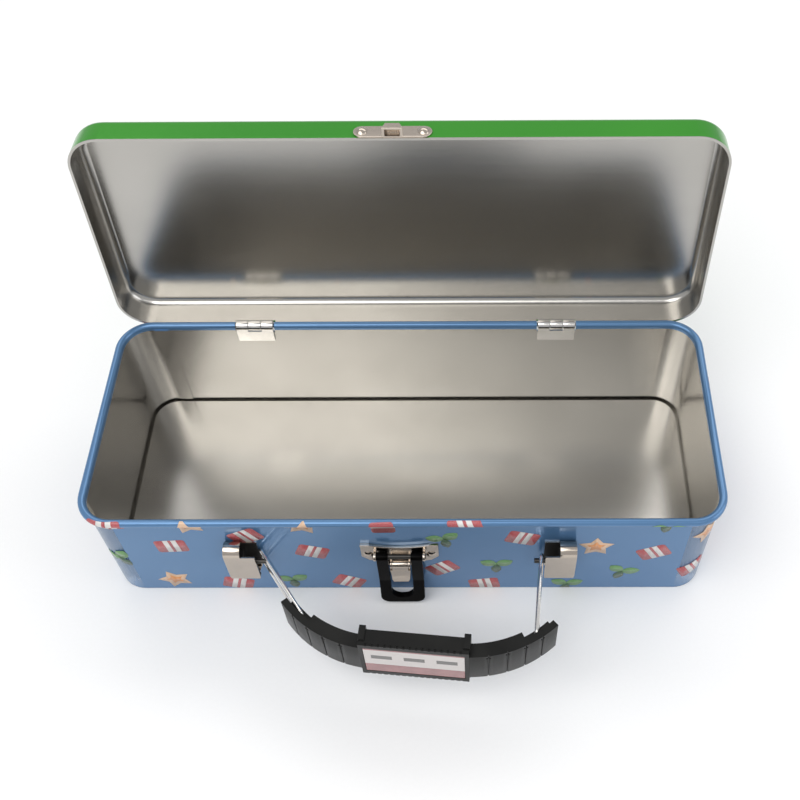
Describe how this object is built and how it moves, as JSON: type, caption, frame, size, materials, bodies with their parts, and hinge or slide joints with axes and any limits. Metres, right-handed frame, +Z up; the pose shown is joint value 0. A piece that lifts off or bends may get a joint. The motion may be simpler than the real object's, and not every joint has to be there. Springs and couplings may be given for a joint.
{
  "type": "tin pencil case",
  "caption": "Long tinplate box with rounded corners, a hinged lid, a drop latch on the front wall and an arched carrying handle on wire links.",
  "frame": {"origin": "middle of the underside, on the surface that the case stands on", "axes": "+X along the case's length to the right, +Z up, the front wall with the latch and handle faces -Y; the lid is open at rest"},
  "size_m": [0.205, 0.1362, 0.13],
  "materials": {
    "printed_tin": "gloss printed tinplate, blue outside with small scattered motifs, bare tin inside",
    "bare_tin": "bare tinplate, soft satin with faint rolling lines",
    "lid_tin": "gloss green outside, bare tin inside",
    "hinge_steel": "bright plated sheet",
    "pin_steel": "plain bright steel",
    "nickel_plate": "nickel plated, slightly warm",
    "bright_wire": "bright drawn wire",
    "black_plastic": "semi-gloss moulded black",
    "label_card": "printed card, pale band over a pink band"
  },
  "bodies": {
    "case": {"body_wall": "printed_tin", "base_panel": "bare_tin", "floor_pan": "bare_tin", "left_hinge_leaf": "hinge_steel", "right_hinge_leaf": "hinge_steel", "left_hinge_pin": "pin_steel", "right_hinge_pin": "pin_steel", "latch_plate": "nickel_plate", "latch_rivets": "nickel_plate", "latch_pin": "pin_steel", "tongue_pin": "pin_steel", "left_bracket": "nickel_plate", "right_bracket": "nickel_plate", "left_bracket_pin": "pin_steel", "right_bracket_pin": "pin_steel", "bracket_rivets": "nickel_plate"},
    "lid": {"lid_shell": "lid_tin", "left_lid_leaf": "hinge_steel", "right_lid_leaf": "hinge_steel", "lid_catch": "nickel_plate", "lid_catch_rivets": "nickel_plate"},
    "pull": {"latch_pull": "black_plastic"},
    "tongue": {"latch_tongue": "nickel_plate"},
    "handle": {"left_link": "bright_wire", "right_link": "bright_wire", "handle_grip": "black_plastic", "handle_label": "label_card"}
  },
  "joints": [
    {"name": "lid_hinge", "type": "hinge", "parent": "case", "child": "lid", "pos_m": [0, 0.0394, 0.0471], "axis": [-1, 0, 0], "range_deg": [-94.7, 0]},
    {"name": "latch_swing", "type": "hinge", "parent": "case", "child": "pull", "pos_m": [0, -0.0414, 0.0283], "axis": [-1, 0, 0], "range_deg": [0, 170]},
    {"name": "tongue_flip", "type": "hinge", "parent": "case", "child": "tongue", "pos_m": [0, -0.0414, 0.0232], "axis": [-1, 0, 0], "range_deg": [0, 80]},
    {"name": "handle_swing", "type": "hinge", "parent": "case", "child": "handle", "pos_m": [0, -0.04325, 0.029], "axis": [-1, 0, 0], "range_deg": [0, 72]}
  ]
}
